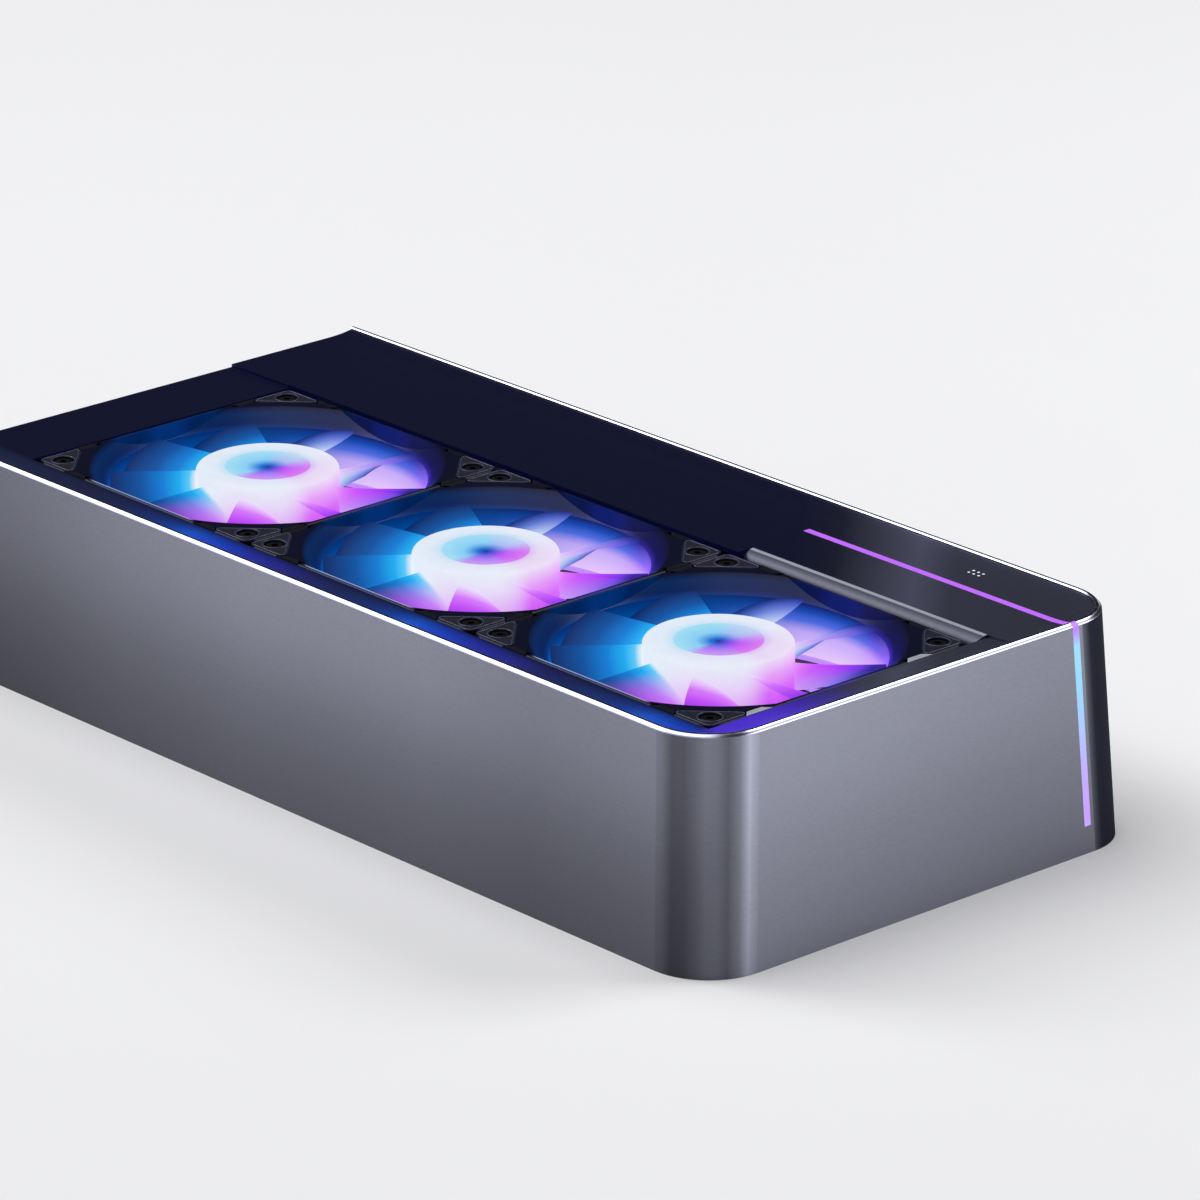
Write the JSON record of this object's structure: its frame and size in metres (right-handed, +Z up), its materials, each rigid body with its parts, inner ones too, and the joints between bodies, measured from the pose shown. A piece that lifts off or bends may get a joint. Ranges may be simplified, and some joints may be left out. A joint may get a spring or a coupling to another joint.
{
  "type": "liquid cooling radiator",
  "caption": "Computer coolant radiator under a row of lit fans, enclosed in a flared brushed aluminium housing with a dark deck and a light strip.",
  "frame": {"origin": "bottom centre of the bounding box, on the surface the housing stands on", "axes": "+X along the fan row, away from the hose end; +Y from the fans to the deck; +Z up"},
  "size_m": [0.4154, 0.2072, 0.084],
  "materials": {
    "brushed_aluminium": "brushed, space grey",
    "deck_black": "dark satin anodised",
    "ridge_satin": "satin",
    "sheet_black": "fine black powder coat",
    "radiator_black": "satin black paint",
    "light_violet": "lit diffuser, violet",
    "light_cyan": "lit diffuser, cyan to violet",
    "light_white": "lit, white",
    "fan_black": "black moulding with an inner glow",
    "fan_translucent": "milky translucent plastic, lit",
    "hub_glow": "lit diffuser disc",
    "rubber_black": "matt",
    "screw_black": "black oxide",
    "clip_metal": "satin",
    "steel_plain": "ground",
    "bronze": "sintered",
    "magnet": "bonded ferrite",
    "stator_iron": "enamelled windings on iron",
    "circuit_board": "solder mask",
    "plug_nickel": "dark nickel"
  },
  "bodies": {
    "housing": {"shell": "brushed_aluminium", "top_panel": "deck_black", "deck_ridge": "ridge_satin", "end_plate": "sheet_black", "deck_light_line": "light_violet", "wall_light_line": "light_cyan", "deck_led_board": "circuit_board", "wall_led_board": "circuit_board", "pin_lights": "light_white", "panel_posts": "steel_plain", "hose_grommets": "rubber_black", "fan_tray": "sheet_black", "tray_legs": "sheet_black", "tray_screws": "screw_black", "radiator_tubes": "radiator_black", "radiator_fins": "radiator_black", "header_plate_ports": "radiator_black", "header_plate_return": "radiator_black", "port_tank": "radiator_black", "return_tank": "radiator_black", "rail_front": "radiator_black", "rail_back": "radiator_black", "fill_plug": "plug_nickel", "fill_plug_seal": "rubber_black", "fan_1_frame": "fan_black", "fan_1_motor_base": "fan_black", "fan_1_bearing": "bronze", "fan_1_stator": "stator_iron", "fan_1_circuit_board": "circuit_board", "fan_1_corner_pads": "rubber_black", "fan_1_edge_clips": "clip_metal", "fan_1_screws": "screw_black", "fan_2_frame": "fan_black", "fan_2_motor_base": "fan_black", "fan_2_bearing": "bronze", "fan_2_stator": "stator_iron", "fan_2_circuit_board": "circuit_board", "fan_2_corner_pads": "rubber_black", "fan_2_edge_clips": "clip_metal", "fan_2_screws": "screw_black", "fan_3_frame": "fan_black", "fan_3_motor_base": "fan_black", "fan_3_bearing": "bronze", "fan_3_stator": "stator_iron", "fan_3_circuit_board": "circuit_board", "fan_3_corner_pads": "rubber_black", "fan_3_edge_clips": "clip_metal", "fan_3_screws": "screw_black"},
    "fan_1_spinner": {"fan_1_rotor": "fan_translucent", "fan_1_hub_cap": "hub_glow", "fan_1_shaft": "steel_plain", "fan_1_magnet_ring": "magnet"},
    "fan_2_spinner": {"fan_2_rotor": "fan_translucent", "fan_2_hub_cap": "hub_glow", "fan_2_shaft": "steel_plain", "fan_2_magnet_ring": "magnet"},
    "fan_3_spinner": {"fan_3_rotor": "fan_translucent", "fan_3_hub_cap": "hub_glow", "fan_3_shaft": "steel_plain", "fan_3_magnet_ring": "magnet"}
  },
  "joints": [
    {"name": "fan_1_spin", "type": "hinge", "parent": "housing", "child": "fan_1_spinner", "pos_m": [-0.11375, -0.0221, 0.066], "axis": [0, 0, 1], "continuous": true},
    {"name": "fan_2_spin", "type": "hinge", "parent": "housing", "child": "fan_2_spinner", "pos_m": [0.00625, -0.0221, 0.066], "axis": [0, 0, 1], "continuous": true},
    {"name": "fan_3_spin", "type": "hinge", "parent": "housing", "child": "fan_3_spinner", "pos_m": [0.12625, -0.0221, 0.066], "axis": [0, 0, 1], "continuous": true}
  ]
}
